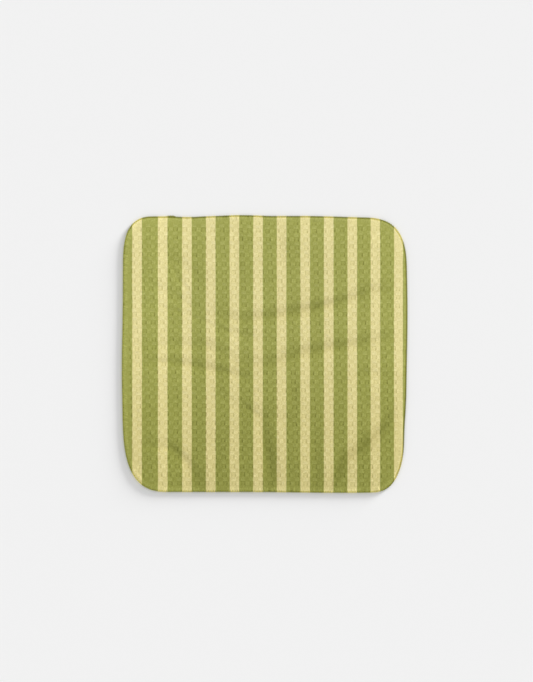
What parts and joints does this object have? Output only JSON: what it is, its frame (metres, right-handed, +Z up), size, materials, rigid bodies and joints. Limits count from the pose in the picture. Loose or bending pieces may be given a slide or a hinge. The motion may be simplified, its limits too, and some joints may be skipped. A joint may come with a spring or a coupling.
{
  "type": "golf towel",
  "caption": "Small square waffle-weave towel with rounded corners, printed stripes and an overlocked edge, laid flat.",
  "frame": {"origin": "centre of the towel's underside, on the surface that it lies on", "axes": "+X across the stripes, +Y along the stripes, +Z up out of the face"},
  "size_m": [0.305, 0.2964, 0.0026],
  "materials": {
    "printed_cloth": "matt waffle weave, printed with pale yellow stripes on olive green",
    "face_thread": "fine polyester sewing thread, printed over with the cloth",
    "edge_thread": "textured polyester overlock thread, printed over with the cloth",
    "back_thread": "textured polyester overlock thread, printed over with the cloth"
  },
  "bodies": {
    "root": {"waffle_cloth": "printed_cloth", "needle_thread": "face_thread", "upper_looper_thread": "edge_thread", "lower_looper_thread": "back_thread"}
  },
  "joints": []
}
